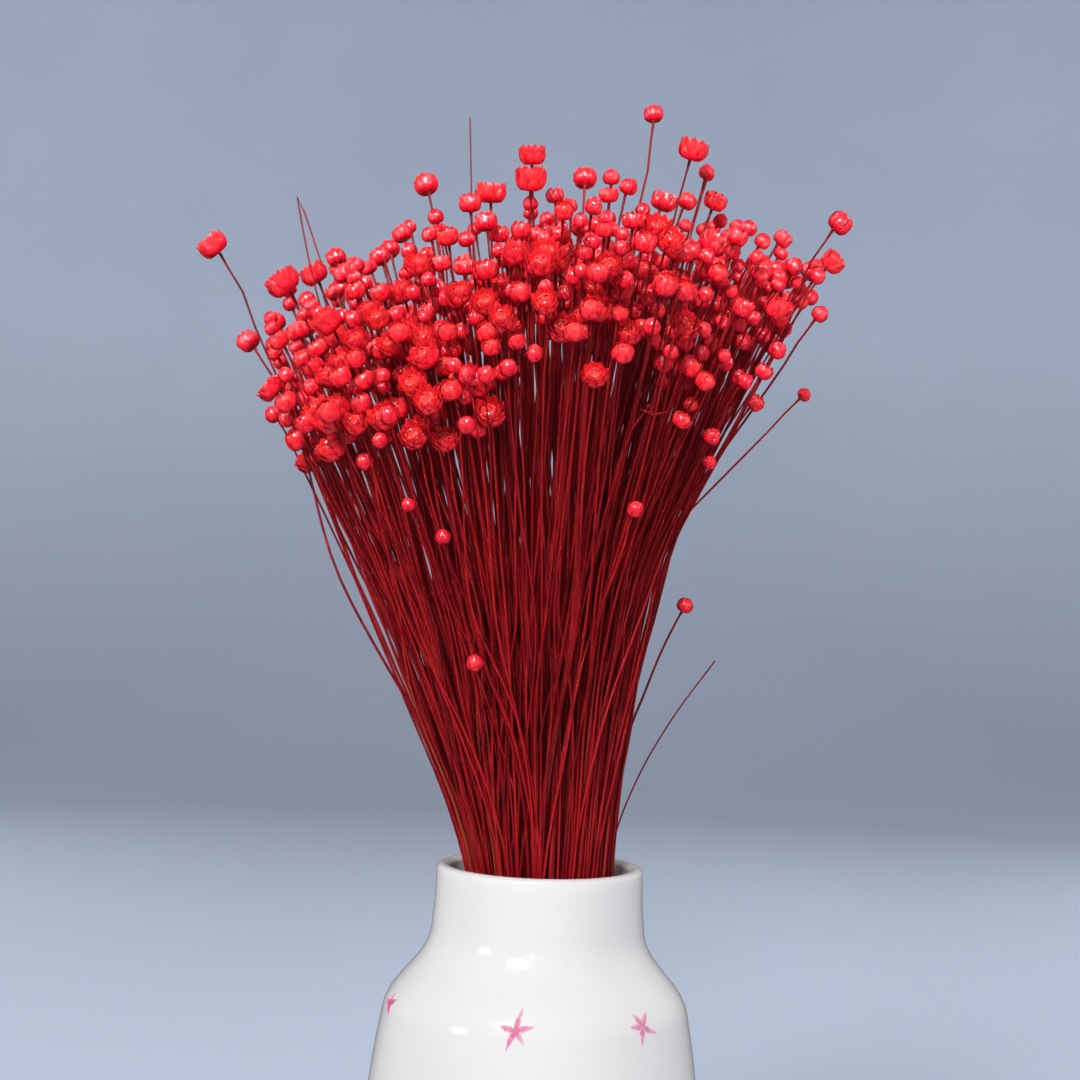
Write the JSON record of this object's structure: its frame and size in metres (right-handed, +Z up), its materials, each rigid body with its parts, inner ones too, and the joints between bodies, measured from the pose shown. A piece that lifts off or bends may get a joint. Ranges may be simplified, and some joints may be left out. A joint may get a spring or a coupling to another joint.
{
  "type": "dried flower bunch in vase",
  "caption": "Dense bunch of small dried papery flower heads on fine bare stems, splaying out of the narrow neck of a glazed, round-shouldered ceramic vase.",
  "frame": {"origin": "middle of the vase's flat foot, on the surface it stands on", "axes": "+Z up along the vase's axis; -Y is the front, where the low lobe of heads hangs to the left; +X is the right side seen from the front"},
  "size_m": [0.1604, 0.1529, 0.3654],
  "materials": {
    "glaze": "glossy warm white glaze",
    "star_paint": "thin brushed colour under the glaze",
    "flower_heads": "papery, waxy and slightly glossy, dyed red",
    "stems": "dry, fine and matte, dyed dark red"
  },
  "bodies": {
    "root": {"vase": "glaze", "stem_bundle_centre": "flower_heads", "stem_bundle_inner_01": "flower_heads", "stem_bundle_inner_02": "flower_heads", "stem_bundle_inner_03": "flower_heads", "stem_bundle_inner_04": "flower_heads", "stem_bundle_inner_05": "flower_heads", "stem_bundle_inner_06": "flower_heads", "stem_bundle_outer_01": "flower_heads", "stem_bundle_outer_02": "flower_heads", "stem_bundle_outer_03": "flower_heads", "stem_bundle_outer_04": "flower_heads", "stem_bundle_outer_05": "flower_heads", "stem_bundle_outer_06": "flower_heads", "stem_bundle_outer_07": "flower_heads", "stem_bundle_outer_08": "flower_heads", "stem_bundle_outer_09": "flower_heads", "stem_bundle_outer_10": "flower_heads", "stem_bundle_outer_11": "flower_heads", "stem_bundle_outer_12": "flower_heads"}
  },
  "joints": []
}
